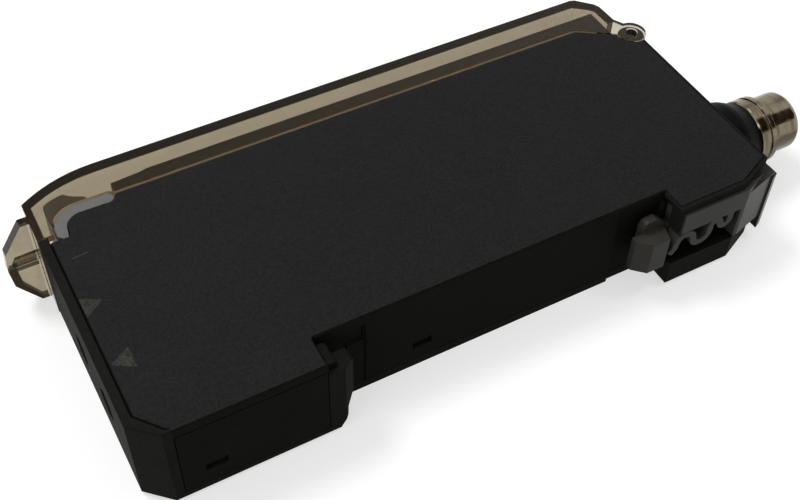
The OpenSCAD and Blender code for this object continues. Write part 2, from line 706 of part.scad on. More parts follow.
// The grey lever that wraps round the corner of the housing and clamps the fibres
module fibre_lever() {
    z_strip = z_top - 0.15;
    hub_z = z_ear - ear_t - 0.1;
    color("#6d6b68")
        union() {
            // band round the corner, over the full thickness
            slab(concat(lever_outer(), reversed(lever_inner())), -z_strip, z_strip);
            slab(lever_grip(), -z_core + 0.05, z_core - 0.05);
            // strips on the broad faces, on to the pivot
            both_sides() {
                slab([[band_x1 - 0.1, inner_corner[1] + inner_corner_r + 0.1],
                      [lever_pivot[0], inner_corner[1] + inner_corner_r + 0.1],
                      [lever_pivot[0], lever_top], [band_x1 - 0.1, lever_top]],
                     z_ear + 0.1, z_strip);
                rod_z(z_ear + 0.1, z_strip, lever_pivot[0], lever_pivot[1], lever_eye_r);
            }
            // hub with two pivot pins, and the web to the band
            rod_z(-hub_z, hub_z, lever_pivot[0], lever_pivot[1], lever_eye_r);
            rod_z(-z_ear - 0.2, z_ear + 0.2, lever_pivot[0], lever_pivot[1], lever_pin_r);
            slab([[x_fibre + 5.2, lever_top - 0.9], [lever_pivot[0], lever_pivot[1] - lever_eye_r],
                  [lever_pivot[0], lever_pivot[1] + lever_eye_r], [x_fibre + 5.2, lever_top - 0.1]],
                 -hub_z, hub_z);
            // cam that presses the fibre holder
            slab([[x_fibre + 4.4, lever_top - 1], [x_fibre + 6.1, lever_top - 1],
                  [x_fibre + 5.9, holder_top + 0.25], [x_fibre + 4.8, holder_top + 0.25]], -1.6, 1.6);
        }
}

// Block that guides and clamps the two fibres
module fibre_holder() {
    x0 = x_fibre + end_wall + 0.1;
    x1 = board_x0 - 0.2;
    color("#2c2d30")
        difference() {
            block([x0, port_low_y - 3, -3.2], [x1, holder_top, 3.2]);
            for (y = [port_low_y, port_low_y + port_pitch]) {
                rod_x(x0 - 1, x1 + 1, y, 0, fibre_r);
                // slit that lets the block close on the fibre
                block([x0 + 2, y - 0.2, 0], [x1 - 2, y + 0.2, 4]);
            }
            // pocket that lightens the block
            block([x0 + 1.2, port_low_y + port_pitch + 2.4, -2.2], [x1 - 1.2, holder_top - 1.2, 4]);
        }
}

// Light source or light detector: a moulded body with a round lens, facing its fibre
module opto_body(y, col) {
    color(col)
        union() {
            block([opto_x0 + 0.5, y - 2.4, board_z1], [opto_x0 + 3.2, y + 2.4, 2.3]);
            rod_x(opto_x0, opto_x0 + 0.6, y, 0, fibre_r - 0.15);
        }
}

module emitter() {
    opto_body(port_low_y, "#b8b4a8");
}

module receiver() {
    opto_body(port_low_y + port_pitch, "#3a3436");
}

// The circuit board, held on four posts
module circuit_board() {
    color("#1f5a3a")
        difference() {
            block([board_x0, board_y0, board_z1 - board_t], [board_x1, board_y1, board_z1]);
            for (p = board_posts_xy)
                rod_z(z_low, z_top, p[0], p[1], post_pin_r + 0.1);
            // corner cut clear of the hinge lug
            block([slope_x0 - 0.4, hinge_y - 2.5, z_low], [x_plug, y_top, z_top]);
            // cut clear of the plug's nut
            block([x_plug - 4.2, plug_y - 4.4, z_low], [board_x1 + 1, plug_y + 4.4, z_top]);
            // notch behind the snap nose
            block([notch_snap[0] - 1.5, board_y0 - 1, z_low], [notch_snap[0] + 1.5, end_wall + 1.1, z_top]);
        }
}

module processor() {
    c = chip_c;
    h = chip_half;
    color("#1c1c1e")
        union() {
            block([c[0] - h, c[1] - h, board_z1 + 0.1], [c[0] + h, c[1] + h, board_z1 + 1.3]);
            for (i = [-5 : 5], s = [-1, 1])
                translate([c[0] + i * leg_pitch - leg_w / 2, c[1] + s * (h + 0.3) - leg_len / 2, board_z1])
                    cube([leg_w, leg_len, 0.25]);
        }
}

module capacitor() {
    color("#9a9b9d")
        union() {
            rod_z(board_z1, board_z1 + 4.4, can_c[0], can_c[1], can_r);
            block([can_c[0] - can_r - 0.2, can_c[1] - can_r - 0.2, board_z1],
                  [can_c[0] + can_r + 0.2, can_c[1] + can_r + 0.2, board_z1 + 0.6]);
        }
}

module regulator() {
    c = regulator_c;
    color("#1c1c1e")
        union() {
            block([c[0] - 2, c[1] - 1.8, board_z1 + 0.05], [c[0] + 2, c[1] + 1.8, board_z1 + 1.6]);
            block([c[0] - 1.4, c[1] - 3.1, board_z1], [c[0] + 1.4, c[1] - 1.6, board_z1 + 0.4]);
            block([c[0] - 1.2, c[1] + 1.6, board_z1], [c[0] + 1.2, c[1] + 2.8, board_z1 + 0.4]);
        }
}

// The control panel under the lid, with openings for the window, lenses and buttons
module control_panel() {
    color("#2b2c2f")
        difference() {
            slab([[panel_x0, y_top], [panel_x0, panel_top - 0.35], [panel_step_x, panel_top - 0.15],
                  [panel_step_x + 0.3, panel_top], [panel_x1, panel_top],
                  [panel_x1, hinge_flat_y + 0.5], [slope_x1 - 0.5, hinge_flat_y + 0.5],
                  [slope_x0 + 0.1, y_top]], -z_core, z_core);
            display_opening(y_top - 1, y_top + far);
            block([display_x0, panel_top - window_t - 0.1, -window_w / 2],
                  [display_x1, y_top + far, window_w / 2]);
            for (x = lens_x)
                rod_y(y_top - 1, y_top + far, x, 0, lens_r + 0.05);
            for (i = [0 : 2])
                button_opening(buttons_x0 - i * button_pitch);
        }
}

module button_opening(x) {
    c = [button_len / 2 + button_gap, button_w / 2 + button_gap];
    block([x - c[0], y_top - 1, -c[1]], [x + c[0], y_top + far, c[1]]);
    w = flange_w + 0.05;
    block([x - c[0] - w, y_top - 1, -c[1] - w], [x + c[0] + w, y_top + pocket_h, c[1] + w]);
}

module display_window() {
    color("#3a1518")
        block([display_x0 + 0.05, panel_top - window_t - 0.1, 0.05 - window_w / 2],
              [display_x1 - 0.05, panel_top - 0.1, window_w / 2 - 0.05]);
}

module display_module() {
    color("#3c3d40")
        block([display_x0 + window_margin + 0.2, board_y1 - 2, board_z1],
              [display_x1 - window_margin - 0.2, panel_top - window_t - 0.15,
               window_w / 2 - window_margin - 0.15]);
}

module lens(x, col) {
    color(col)
        union() {
            rod_y(board_y1 - 0.2, panel_top + 0.1, x, 0, lens_r);
            translate([x, panel_top + 0.1, 0])
                rotate([-90, 0, 0])
                    cylinder(h = 0.2, r1 = lens_r, r2 = lens_r - 0.25, $fn = small_fn);
        }
}

module output_lens() {
    lens(lens_x[0], "#c8641e");
}

module power_lens() {
    lens(lens_x[1], "#3f8f4a");
}

module led_chips() {
    color("#c9c4b4")
        for (x = lens_x)
            block([x - 0.8, board_y1 - 2, board_z1], [x + 0.8, board_y1 - 0.3, 0.8]);
}

// One push button: cap, retaining flange and stem
module button(i, top) {
    x = buttons_x0 - i * button_pitch;
    c = [button_len / 2, button_w / 2];
    color("#8a8883")
        difference() {
            union() {
                block([x - c[0], flange_y, -c[1]], [x + c[0], panel_top + cap_rise, c[1]]);
                block([x - c[0] - flange_w, flange_y, -c[1] - flange_w],
                      [x + c[0] + flange_w, flange_y + flange_t, c[1] + flange_w]);
                rod_y(stem_end_y, flange_y + 0.1, x, 0, button_stem_r);
            }
            translate([0, panel_top + cap_rise - 0.15, 0])
                rotate([-90, 0, 0])
                    linear_extrude(1)
                        translate([x, 0])
                            polygon(top);
        }
}

module button_up() {
    button(2, arrow);
}

module button_down() {
    button(1, [for (p = arrow) [p[0], -p[1]]]);
}

module button_set() {
    button(0, bar_mark);
}

// One switch on the board under a button
module switch_body(i) {
    x = buttons_x0 - i * button_pitch;
    plunger_y = stem_end_y - button_travel - 0.1;
    color("#2e2f31")
        union() {
            block([x - 1.6, board_y1 - 3, board_z1], [x + 1.6, plunger_y - 0.5, 1.5]);
            rod_y(plunger_y - 0.6, plunger_y, x, 0, 0.6);
        }
}

module switch_up() {
    switch_body(2);
}

module switch_down() {
    switch_body(1);
}

module switch_set() {
    switch_body(0);
}

// Black collar of the plug, with a neck through the case
module connector_collar() {
    color("#1f2022")
        difference() {
            translate([0, plug_y, 0])
                rotate([0, 90, 0])
                    rotate_extrude($fn = round_fn)
                        polygon([
                            [0.5, x_plug - 2.6], [neck_r, x_plug - 2.6], [neck_r, x_plug + 0.02],
                            [collar_r, x_plug + 0.02], [collar_r, x_plug + 1.9],
                            [collar_r - 0.12, x_plug + 2.4], [ring_r - 0.1, ring_x0 - 0.25],
                            [ring_r - 0.12, ring_x0], [0.5, ring_x0]]);
            rod_x(x_plug - 3, ring_x0 + 1, plug_y, 0, bore_r);
            rod_x(ring_x0 - 2.6, ring_x0 + 1, plug_y, 0, spigot_r);
        }
}

// Nut that holds the collar's neck from inside
module connector_nut() {
    color("#b09a58")
        difference() {
            translate([x_plug - end_wall + 0.35 - nut_t, plug_y, 0])
                rotate([0, 90, 0])
                    cylinder(h = nut_t, r = nut_corner_r, $fn = 6);
            rod_x(x_plug - 4, x_plug, plug_y, 0, neck_r + 0.04);
        }
}

// Nickel-plated sleeve: spigot, grooved ring and round nose
module connector_sleeve() {
    nose_round = 0.5;
    groove_x = ring_x0 + ring_len * 0.58;
    color("#a79f92")
        translate([0, plug_y, 0])
            rotate([0, 90, 0])
                rotate_extrude($fn = 96)
                    polygon(concat(
                        [[bore_r, ring_x0 - 2.5], [spigot_r - 0.04, ring_x0 - 2.5],
                         [spigot_r - 0.04, ring_x0 + 0.02],
                         [ring_r - 0.15, ring_x0 + 0.02], [ring_r, ring_x0 + 0.17],
                         [ring_r, groove_x - 0.2], [ring_r - 0.18, groove_x - 0.1],
                         [ring_r - 0.18, groove_x + 0.1], [ring_r, groove_x + 0.2],
                         [ring_r, ring_x1 - 0.2], [ring_r - 0.2, ring_x1], [nose_r, ring_x1]],
                        arc([nose_r - nose_round, nose_x1 - nose_round], nose_round, 0, 90, 6),
                        [[bore_r + 0.2, nose_x1], [bore_r, nose_x1 - 0.2]]));
}

// Black insert that holds the contact pins
module pin_insert() {
    color("#151517")
        difference() {
            rod_x(x_plug - 3.2, ring_x0 + 1.2, plug_y, 0, bore_r - 0.05);
            for (k = [0 : 3])
                rod_x(x_plug - 4, ring_x1, contact_yz(k)[0], contact_yz(k)[1], contact_r + 0.02);
            // keyway
            block([ring_x0 - 1, plug_y - bore_r - 0.5, -0.4], [ring_x0 + 2, plug_y - bore_r + 0.45, 0.4]);
        }
}

function contact_yz(k) = [plug_y + contact_circle * cos(45 + 90 * k), contact_circle * sin(45 + 90 * k)];

// One gold-plated contact pin with a rounded tip
module contact_pin(k) {
    tip_x = nose_x1 - 0.9;
    c = contact_yz(k);
    color("#c9a64e")
        translate([0, c[0], c[1]])
            rotate([0, 90, 0])
                rotate_extrude($fn = small_fn)
                    polygon([[0, x_plug - 4.2], [contact_r, x_plug - 4.2], [contact_r, tip_x - 0.3],
                             [contact_r * 0.6, tip_x], [0, tip_x]]);
}

module contact_pin_1() {
    contact_pin(0);
}

module contact_pin_2() {
    contact_pin(1);
}

module contact_pin_3() {
    contact_pin(2);
}

module contact_pin_4() {
    contact_pin(3);
}

// The spring clip that locks the rail: hook, bar, serpentine spring and pull tab in one moulding
module rail_clip() {
    y0 = y_foot;
    y1 = clip_top_y;
    hook_x1 = x_notch - 0.9;
    hook_z1 = z_top - 3.05;
    neck_x0 = clip_tip + 1.15;
    neck_x1 = x_notch + 0.4;
    neck_z1 = z_top - 1.85;
    spring = [for (p = spring_path) [x_notch + p[0], p[1] + clip_bar_z0 - 2]];
    color("#7a7875")
        union() {
            // hook with its ramp
            slab([[clip_tip, -rail_t - 0.15], [clip_tip, -1.95], [clip_tip + 1.2, y0], [hook_x1, y0],
                  [hook_x1 + 0.4, -rail_t - 0.6], [hook_x1 + 0.4, -rail_t - 0.15]], clip_z0, hook_z1);
            // neck of the hook with its rounded top end, up to the ceiling
            slab_y([[neck_x0, clip_z0], [neck_x1, clip_z0], [neck_x1, clip_bar_z0 - 0.6],
                    [neck_x1 - 0.95, neck_z1 - 0.65], [neck_x1 - 1.8, neck_z1], [neck_x0 + 0.6, neck_z1],
                    [neck_x0 + 0.2, neck_z1 - 0.15], [neck_x0, neck_z1 - 0.6]], clip_neck_y, y1);
            // web that joins the hook to the bar behind the spring
            block([hook_x1 - 0.5, -1.45, clip_bar_z0 - 1.7], [x_plug - 0.4, y1, clip_bar_z0 - 0.05]);
            block([clip_bar_x0, -1.45, clip_bar_z0 - 0.1], [x_plug - 0.9, y1, clip_bar_z0 + 0.2]);
            // bar under the rim
            slab([[clip_bar_x0, y0], [x_plug - plug_cut[0] + 0.4, y0],
                  [x_plug - 0.9, y0 + 1.25], [x_plug - 0.9, y1], [clip_bar_x0, y1]],
                 clip_bar_z0, z_plate - clip_gap);
            slab([[clip_bar_x0, y0], [x_plug - plug_cut[0] + 0.4, y0],
                  [x_plug - 1.2, y0 + 1], [x_plug - plug_cut[0] - 0.3, -2.4], [clip_bar_x0, -2.4]],
                 clip_bar_z0, clip_z1);
            // serpentine spring
            slab_y(ribbon(spring, spring_t), y0, -1.4);
            // end block and pull tab
            slab([[x_plug - 4.1, y0], [x_plug - plug_cut[0] + 0.4, y0], [x_plug + 0.4, y0 + 1.1],
                  [x_plug + 0.4, y1], [x_plug - 4.1, y1]], clip_z0, z_plate - clip_gap);
            slab([[x_plug + 0.1, y0 + 0.85], [x_plug + 0.85, y0 + 1.2], [x_plug + 0.85, y1 - 0.3],
                  [x_plug + 0.1, y1 - 0.1]], z_low + 1.6, z_plate - 0.6);
        }
}

case();
side_cover();
control_panel();
display_window();
display_module();
output_lens();
power_lens();
led_chips();
button_up();
button_down();
button_set();
switch_up();
switch_down();
switch_set();
lid();
fibre_lever();
fibre_holder();
emitter();
receiver();
circuit_board();
processor();
capacitor();
regulator();
connector_collar();
connector_nut();
connector_sleeve();
pin_insert();
contact_pin_1();
contact_pin_2();
contact_pin_3();
contact_pin_4();
rail_clip();
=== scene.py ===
"""Fibre-optic sensor amplifier lying on its broad side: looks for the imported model."""
import json
import math

import bpy
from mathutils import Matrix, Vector


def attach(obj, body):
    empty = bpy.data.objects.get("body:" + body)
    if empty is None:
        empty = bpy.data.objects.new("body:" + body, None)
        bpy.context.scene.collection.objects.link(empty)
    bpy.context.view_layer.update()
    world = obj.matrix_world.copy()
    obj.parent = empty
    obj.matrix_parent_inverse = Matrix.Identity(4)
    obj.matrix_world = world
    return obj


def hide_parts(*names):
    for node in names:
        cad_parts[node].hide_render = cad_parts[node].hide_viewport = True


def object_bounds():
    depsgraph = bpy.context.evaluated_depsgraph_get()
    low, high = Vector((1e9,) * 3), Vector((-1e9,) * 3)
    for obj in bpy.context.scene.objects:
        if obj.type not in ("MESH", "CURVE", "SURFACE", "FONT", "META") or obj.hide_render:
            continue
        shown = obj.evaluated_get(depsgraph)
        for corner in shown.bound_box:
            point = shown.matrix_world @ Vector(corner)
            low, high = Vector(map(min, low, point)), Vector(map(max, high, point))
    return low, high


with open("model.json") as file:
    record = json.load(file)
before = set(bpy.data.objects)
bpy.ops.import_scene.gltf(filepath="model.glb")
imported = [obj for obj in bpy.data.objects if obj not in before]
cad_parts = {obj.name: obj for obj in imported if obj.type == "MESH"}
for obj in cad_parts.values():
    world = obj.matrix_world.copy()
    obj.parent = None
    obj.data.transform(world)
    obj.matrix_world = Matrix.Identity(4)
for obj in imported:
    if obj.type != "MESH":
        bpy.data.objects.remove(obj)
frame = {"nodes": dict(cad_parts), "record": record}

cad_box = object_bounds()
MM = 0.001
nodes = frame["nodes"]
body_of = {n: b for b, members in frame["record"]["behaviour"]["bodies"].items() for n in members}
slot_of = {s["node"]: s["material_slot"] for s in frame["record"]["subparts"]}


# Camera

CAMERA_PLACE = (-41.70, -55.22, 85.38)  # millimetres
CAMERA_TURN = (40.95, -1.082, -28.606)  # degrees about X, Y and Z
CAMERA_LENS = 53.87

lens = bpy.data.cameras.new("camera")
lens.lens = CAMERA_LENS
lens.sensor_width = 36
lens.clip_start = 0.005
lens.clip_end = 10
camera = bpy.data.objects.new("camera", lens)
bpy.context.scene.collection.objects.link(camera)
camera.location = Vector(CAMERA_PLACE) * MM
camera.rotation_euler = [math.radians(a) for a in CAMERA_TURN]
bpy.context.scene.camera = camera


# Node material helpers

COLOUR_A = 6    # the colour sockets of a Mix node
COLOUR_B = 7
COLOUR_OUT = 2


class Shader:
    """One procedural material, built node by node."""

    def __init__(self, name):
        self.material = bpy.data.materials.new(name)
        self.material.use_nodes = True
        self.tree = self.material.node_tree
        self.out = self.tree.nodes["Material Output"]
        self.bsdf = self.tree.nodes["Principled BSDF"]
        self.coords = self.add("ShaderNodeTexCoord").outputs["Object"]

    def add(self, kind, **settings):
        node = self.tree.nodes.new(kind)
        for key, value in settings.items():
            setattr(node, key, value)
        return node

    def link(self, a, b):
        self.tree.links.new(a, b)

    def put(self, socket, value):
        """A value, a colour or another node's output into a socket."""
        if isinstance(value, bpy.types.NodeSocket):
            self.link(value, socket)
        elif isinstance(value, tuple) and len(value) == 3 and socket.type == "RGBA":
            socket.default_value = (*value, 1)
        else:
            socket.default_value = value

    def texture(self, kind, size_mm, stretch=(1, 1, 1)):
        """A texture whose features are about size_mm across."""
        mapping = self.add("ShaderNodeMapping")
        mapping.inputs["Scale"].default_value = [1 / (size_mm * MM * s) for s in stretch]
        self.link(self.coords, mapping.inputs["Vector"])
        node = self.add(kind)
        node.inputs["Scale"].default_value = 1
        self.link(mapping.outputs["Vector"], node.inputs["Vector"])
        return node

    def noise(self, size_mm, detail=2.0, roughness=0.5, stretch=(1, 1, 1)):
        node = self.texture("ShaderNodeTexNoise", size_mm, stretch)
        node.inputs["Detail"].default_value = detail
        node.inputs["Roughness"].default_value = roughness
        return node.outputs["Fac"]

    def cells(self, size_mm):
        """How far the surface lies from points that are scattered about size_mm apart."""
        return self.texture("ShaderNodeTexVoronoi", size_mm).outputs["Distance"]

    def ramp(self, value, low, high, out_low=0.0, out_high=1.0):
        """Maps low..high to out_low..out_high, clamped."""
        node = self.add("ShaderNodeMapRange")
        self.put(node.inputs["Value"], value)
        node.inputs["From Min"].default_value = low
        node.inputs["From Max"].default_value = high
        node.inputs["To Min"].default_value = out_low
        node.inputs["To Max"].default_value = out_high
        return node.outputs["Result"]

    def math(self, operation, a, b=0.0):
        node = self.add("ShaderNodeMath", operation=operation)
        self.put(node.inputs[0], a)
        self.put(node.inputs[1], b)
        return node.outputs["Value"]

    def mix(self, factor, a, b):
        node = self.add("ShaderNodeMix", data_type="RGBA")
        self.put(node.inputs["Factor"], factor)
        self.put(node.inputs[COLOUR_A], a)
        self.put(node.inputs[COLOUR_B], b)
        return node.outputs[COLOUR_OUT]

    def tinted(self, colour, strength):
        """A colour times a number."""
        node = self.add("ShaderNodeVectorMath", operation="SCALE")
        if isinstance(colour, bpy.types.NodeSocket):
            self.link(colour, node.inputs[0])
        else:
            node.inputs[0].default_value = colour
        self.put(node.inputs["Scale"], strength)
        return node.outputs["Vector"]

    def along(self, p, direction, axes="XY"):
        """How far the surface lies from p along a direction in two axes, in millimetres."""
        node = self.add("ShaderNodeVectorMath", operation="DOT_PRODUCT")
        self.link(self.coords, node.inputs[0])
        for axis, share in zip(axes, direction):
            node.inputs[1].default_value["XYZ".index(axis)] = share / MM
        return self.math("SUBTRACT", node.outputs["Value"], p[0] * direction[0] + p[1] * direction[1])

    def inside(self, corners, soft_mm=0.04, axes="XY"):
        """1 inside a polygon that turns left at each corner, in two axes."""
        mask = None
        for p, q in zip(corners, corners[1:] + corners[:1]):
            d = Vector((q[0] - p[0], q[1] - p[1])).normalized()
            edge = self.ramp(self.along(p, (-d.y, d.x), axes), -soft_mm, soft_mm)
            mask = edge if mask is None else self.math("MULTIPLY", mask, edge)
        return mask

    def hairline(self, p, q, width_mm=0.05):
        """A line from p to q that fades at its ends."""
        d = Vector((q[0] - p[0], q[1] - p[1]))
        length = d.length
        d.normalize()
        off = self.math("ABSOLUTE", self.along(p, (-d.y, d.x)))
        run = self.along(p, (d.x, d.y))
        middle = self.ramp(self.math("ABSOLUTE", self.math("SUBTRACT", run, length / 2)),
                           length * 0.3, length * 0.5, 1.0, 0.0)
        return self.math("MULTIPLY", self.ramp(off, width_mm * 0.4, width_mm, 1.0, 0.0), middle)

    def bump(self, height, distance_mm, under):
        """Small relief on top of the direction that another node gives."""
        node = self.add("ShaderNodeBump")
        node.inputs["Distance"].default_value = distance_mm * MM
        self.link(height, node.inputs["Height"])
        self.link(under, node.inputs["Normal"])
        return node.outputs["Normal"]

    def rounded(self, width_mm):
        """The surface's direction with its edges rounded off over width_mm."""
        node = self.add("ShaderNodeBevel", samples=6)
        node.inputs["Radius"].default_value = width_mm * MM
        return node.outputs["Normal"]

    def set(self, **values):
        """Values or nodes for the surface shader's sockets."""
        for key, value in values.items():
            self.put(self.bsdf.inputs[key.replace("_", " ")], value)


def moulded(name, tone, grain_mm, depth_mm, rough, gloss=0.2, specks=0.0, marks=(), scratches=(),
            grainy=0.10, edge_mm=0.10):
    """Moulded plastic: spark-eroded grain, faint mottling, dust specks, marks and hairlines."""
    s = Shader(name)
    mottle = s.ramp(s.noise(4.0, 3), 0.3, 0.7, 0.94, 1.06)
    grain = s.noise(grain_mm, 3, 0.7)
    glint = s.ramp(grain, 0.30, 0.70, 1 - grainy, 1 + grainy)
    colour = tone
    for triangle in marks:
        worn = s.ramp(s.noise(0.45, 3), 0.34, 0.46, 0.35, 0.9)
        colour = s.mix(s.math("MULTIPLY", s.inside(triangle), worn), colour, MARK_TONE)
    for p, q, line_tone in scratches:
        colour = s.mix(s.hairline(p, q), colour, line_tone)
    if specks:
        dots = s.ramp(s.cells(2.6), 0.020, 0.010, 0, specks)
        colour = s.mix(dots, colour, DUST)
    colour = s.tinted(colour, s.math("MULTIPLY", mottle, glint))
    s.set(Base_Color=colour, Normal=s.bump(grain, depth_mm, s.rounded(edge_mm)),
          Roughness=s.ramp(s.noise(5, 2), 0.3, 0.7, rough - 0.02, rough + 0.02),
          Specular_IOR_Level=gloss)
    return s.material


def tab_colour(s, tint):
    """The lid's tint, darker and cloudier on its finger tab, with painted shade along the tab's lower
    rim and rib.
    """
    cloud = s.ramp(s.noise(2.2, 3, 0.5), 0.35, 0.65, 0.8, 1.0)
    on_tab = s.ramp(s.along((TAB_X, 0), (-1, 0)), -0.1, 0.1)
    colour = s.mix(on_tab, tint, s.tinted(TAB_DARKER_TONE, cloud))
    outside_pane = s.math("SUBTRACT", 1.0, s.inside(TAB_PANE, axes="XZ"))
    rim = s.math("MULTIPLY", s.inside(TAB_LOWER_HALF, axes="XZ"), outside_pane)
    return s.mix(s.math("MAXIMUM", rim, s.inside(TAB_RIB, axes="XZ")), colour, RIM_PAINTED_SHADE)


def clear_plastic(name, tint, rough, glint=(1, 1, 1), absorbs=None, density=0.0, edge_mm=0.10,
                  tab=False):
    """Clear plastic: haze and handling marks on its surface, and its colour from its depth."""
    s = Shader(name)
    haze = s.ramp(s.noise(2.2, 4, 0.6), 0.45, 0.75, rough, rough + 0.10)
    smear = s.ramp(s.noise(1.1, 3, 0.5, (5, 1, 1)), 0.35, 0.7, 1.0, 0.93)
    colour = tab_colour(s, tint) if tab else tint
    s.set(Base_Color=s.tinted(colour, smear), Roughness=haze, IOR=CLEAR_IOR, Specular_Tint=glint,
          Transmission_Weight=1.0, Normal=s.bump(s.noise(2.5, 2), 0.002, s.rounded(edge_mm)))
    if absorbs:
        volume = s.add("ShaderNodeVolumeAbsorption")
        volume.inputs["Color"].default_value = (*absorbs, 1)
        volume.inputs["Density"].default_value = density
        s.link(volume.outputs["Volume"], s.out.inputs["Volume"])
    return s.material


def metal(name, colour, rough, stain=0.8, rings=0.0):
    """Plated metal: turning marks, a cloudy handled surface, and, where rings is set, painted dark
    reflections in streaks along it and darker rings around it.
    """
    s = Shader(name)
    tone = s.tinted(colour, s.ramp(s.noise(1.1, 4), 0.35, 0.65, stain, 1.0))
    if rings:
        # Painted reflection: dark streaks along the axis stand in for the dark surroundings the metal
        # reflects; rings around it are darker too.
        streaks = s.ramp(s.noise(1.6, 2, 0.5, (4, 1, 1)), 0.42, 0.60, 0, rings)
        bands = s.ramp(s.noise(1.2, 2, 0.6, (0.4, 6, 6)), 0.50, 0.64, 0, rings * 0.6)
        tone = s.mix(s.math("MAXIMUM", streaks, bands), tone, REFLECTION_AND_RING_DARK)
    s.set(Base_Color=tone, Metallic=1.0,
          Roughness=s.ramp(s.noise(0.7, 3), 0.3, 0.7, rough, rough + 0.12),
          Normal=s.bump(s.noise(0.3, 2, 0.5, (0.25, 3, 3)), 0.003, s.rounded(METAL_EDGE_MM)))
    return s.material


# Places are in millimetres, in X and Y for the cover and in X and Z for the lid's tab

CLEAR_IOR = 1.45
METAL_EDGE_MM = 0.08
TAB_X = -35.2
# Darker than the rest of the lid, on its finger tab.
TAB_DARKER_TONE = (0.48, 0.455, 0.36)
# Painted shade: near black along the lid tab's lower rim and rib.
RIM_PAINTED_SHADE = (0.012, 0.008, 0.004)
TAB_LOWER_HALF = ((-39, -6), (-35.2, -6), (-35.2, 0), (-39, 0))
TAB_PANE = ((-37.3, 0), (-37.1, -2.3), (-35.7, -4.7), (-30, -4.9), (-30, 6), (-37.3, 6))
TAB_RIB = ((-37.9, -0.3), (-35.2, -0.3), (-35.2, 0.25), (-37.9, 0.25))
DUST = (0.12, 0.115, 0.10)
MARK_TONE = (0.030, 0.030, 0.025)
# Painted reflection: dark brown for the metal's reflected streaks, and for its darker rings.
REFLECTION_AND_RING_DARK = (0.045, 0.033, 0.021)
IN_MARK = ((-33.96, 10.76), (-32.14, 12.01), (-33.96, 13.0))
OUT_MARK = ((-33.90, 5.20), (-31.98, 4.06), (-31.98, 6.29))
DEEP = (0.003, 0.003, 0.003)
SCRATCHES = (((-33.2, 17.55), (-31.4, 17.75), (0.045, 0.045, 0.040)),
             ((-27.95, 20.4), (-27.55, 18.2), DEEP),
             ((-25.2, 5.1), (-24.4, 3.5), DEEP))

MATERIALS = {
    "case_plastic": moulded("case_plastic", (0.0053, 0.0052, 0.0047), grain_mm=0.22, depth_mm=0.03,
                            rough=0.52, gloss=0.045, specks=0.2, grainy=0.4, edge_mm=0.05),
    # Painted shade: the case plastic's copy for its sides, with less gloss and its own tone.
    "case_side_shade": moulded("case_side_shade", (0.0088, 0.0088, 0.0076), grain_mm=0.22, depth_mm=0.012,
                         rough=0.60, gloss=0.014, specks=0.2, grainy=0.35, edge_mm=0.07),
    "cover_plastic": moulded("cover_plastic", (0.0056, 0.0059, 0.0058), grain_mm=0.24, depth_mm=0.05,
                             rough=0.60, gloss=0.095, specks=0.5, marks=(IN_MARK, OUT_MARK),
                             scratches=SCRATCHES, grainy=0.75, edge_mm=0.06),
    # Painted shade: the cover plastic's copy for its sides, with less gloss and its own tone.
    "cover_side_shade": moulded("cover_side_shade", (0.0066, 0.0065, 0.0053), grain_mm=0.22, depth_mm=0.012,
                          rough=0.60, gloss=0.012, specks=0.3, grainy=0.35),
    "panel_plastic": moulded("panel_plastic", (0.014, 0.014, 0.012), grain_mm=0.2, depth_mm=0.01,
                             rough=0.5, gloss=0.1),
    "module_plastic": moulded("module_plastic", (0.02, 0.02, 0.02), grain_mm=0.2, depth_mm=0.01,
                              rough=0.5),
    "led_ceramic": moulded("led_ceramic", (0.55, 0.50, 0.40), grain_mm=0.2, depth_mm=0.005, rough=0.5),
    "button_plastic": moulded("button_plastic", (0.25, 0.24, 0.22), grain_mm=0.2, depth_mm=0.006,
                              rough=0.45),
    "lever_plastic": moulded("lever_plastic", (0.110, 0.109, 0.104), grain_mm=0.3, depth_mm=0.006,
                             rough=0.36, gloss=0.3),
    "clip_plastic": moulded("clip_plastic", (0.033, 0.032, 0.028), grain_mm=0.3, depth_mm=0.006,
                            rough=0.25, gloss=0.05, specks=0.3),
    "collar_plastic": moulded("collar_plastic", (0.0024, 0.0025, 0.0027), grain_mm=0.2, depth_mm=0.012,
                              rough=0.42, gloss=0.035),
    "chip_plastic": moulded("chip_plastic", (0.013, 0.013, 0.013), grain_mm=0.1, depth_mm=0.006,
                            rough=0.6),
    "board_laminate": moulded("board_laminate", (0.012, 0.10, 0.045), grain_mm=0.5, depth_mm=0.006,
                              rough=0.3),
    "smoked_lid": clear_plastic("smoked_lid", (0.70, 0.69, 0.61), rough=0.02, glint=(0.31, 0.20, 0.07),
                                absorbs=(0.47, 0.33, 0.19), density=560, edge_mm=0.06, tab=True),
    "display_window": clear_plastic("display_window", (0.30, 0.04, 0.05), rough=0.05),
    "orange_lens": clear_plastic("orange_lens", (0.80, 0.25, 0.03), rough=0.15),
    "green_lens": clear_plastic("green_lens", (0.10, 0.55, 0.15), rough=0.15),
    "can_aluminium": metal("can_aluminium", (0.62, 0.62, 0.63), rough=0.3),
    "nut_brass": metal("nut_brass", (0.60, 0.43, 0.18), rough=0.3),
    # Painted reflection: the nickel is darker than plated metal, for the dark surroundings it
    # reflects.
    "nickel": metal("nickel", (0.235, 0.20, 0.14), rough=0.08, rings=0.75),
    "contact_gold": metal("contact_gold", (0.85, 0.60, 0.25), rough=0.2),
}


# Pieces

def stand_in(name, reshape):
    """A copy of a CAD node, with its mesh reshaped, that stands for the node."""
    mesh = nodes[name].data.copy()
    reshape(mesh)
    piece = bpy.data.objects.new(name + "_seen", mesh)
    bpy.context.scene.collection.objects.link(piece)
    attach(piece, body_of[name])
    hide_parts(name)
    return piece


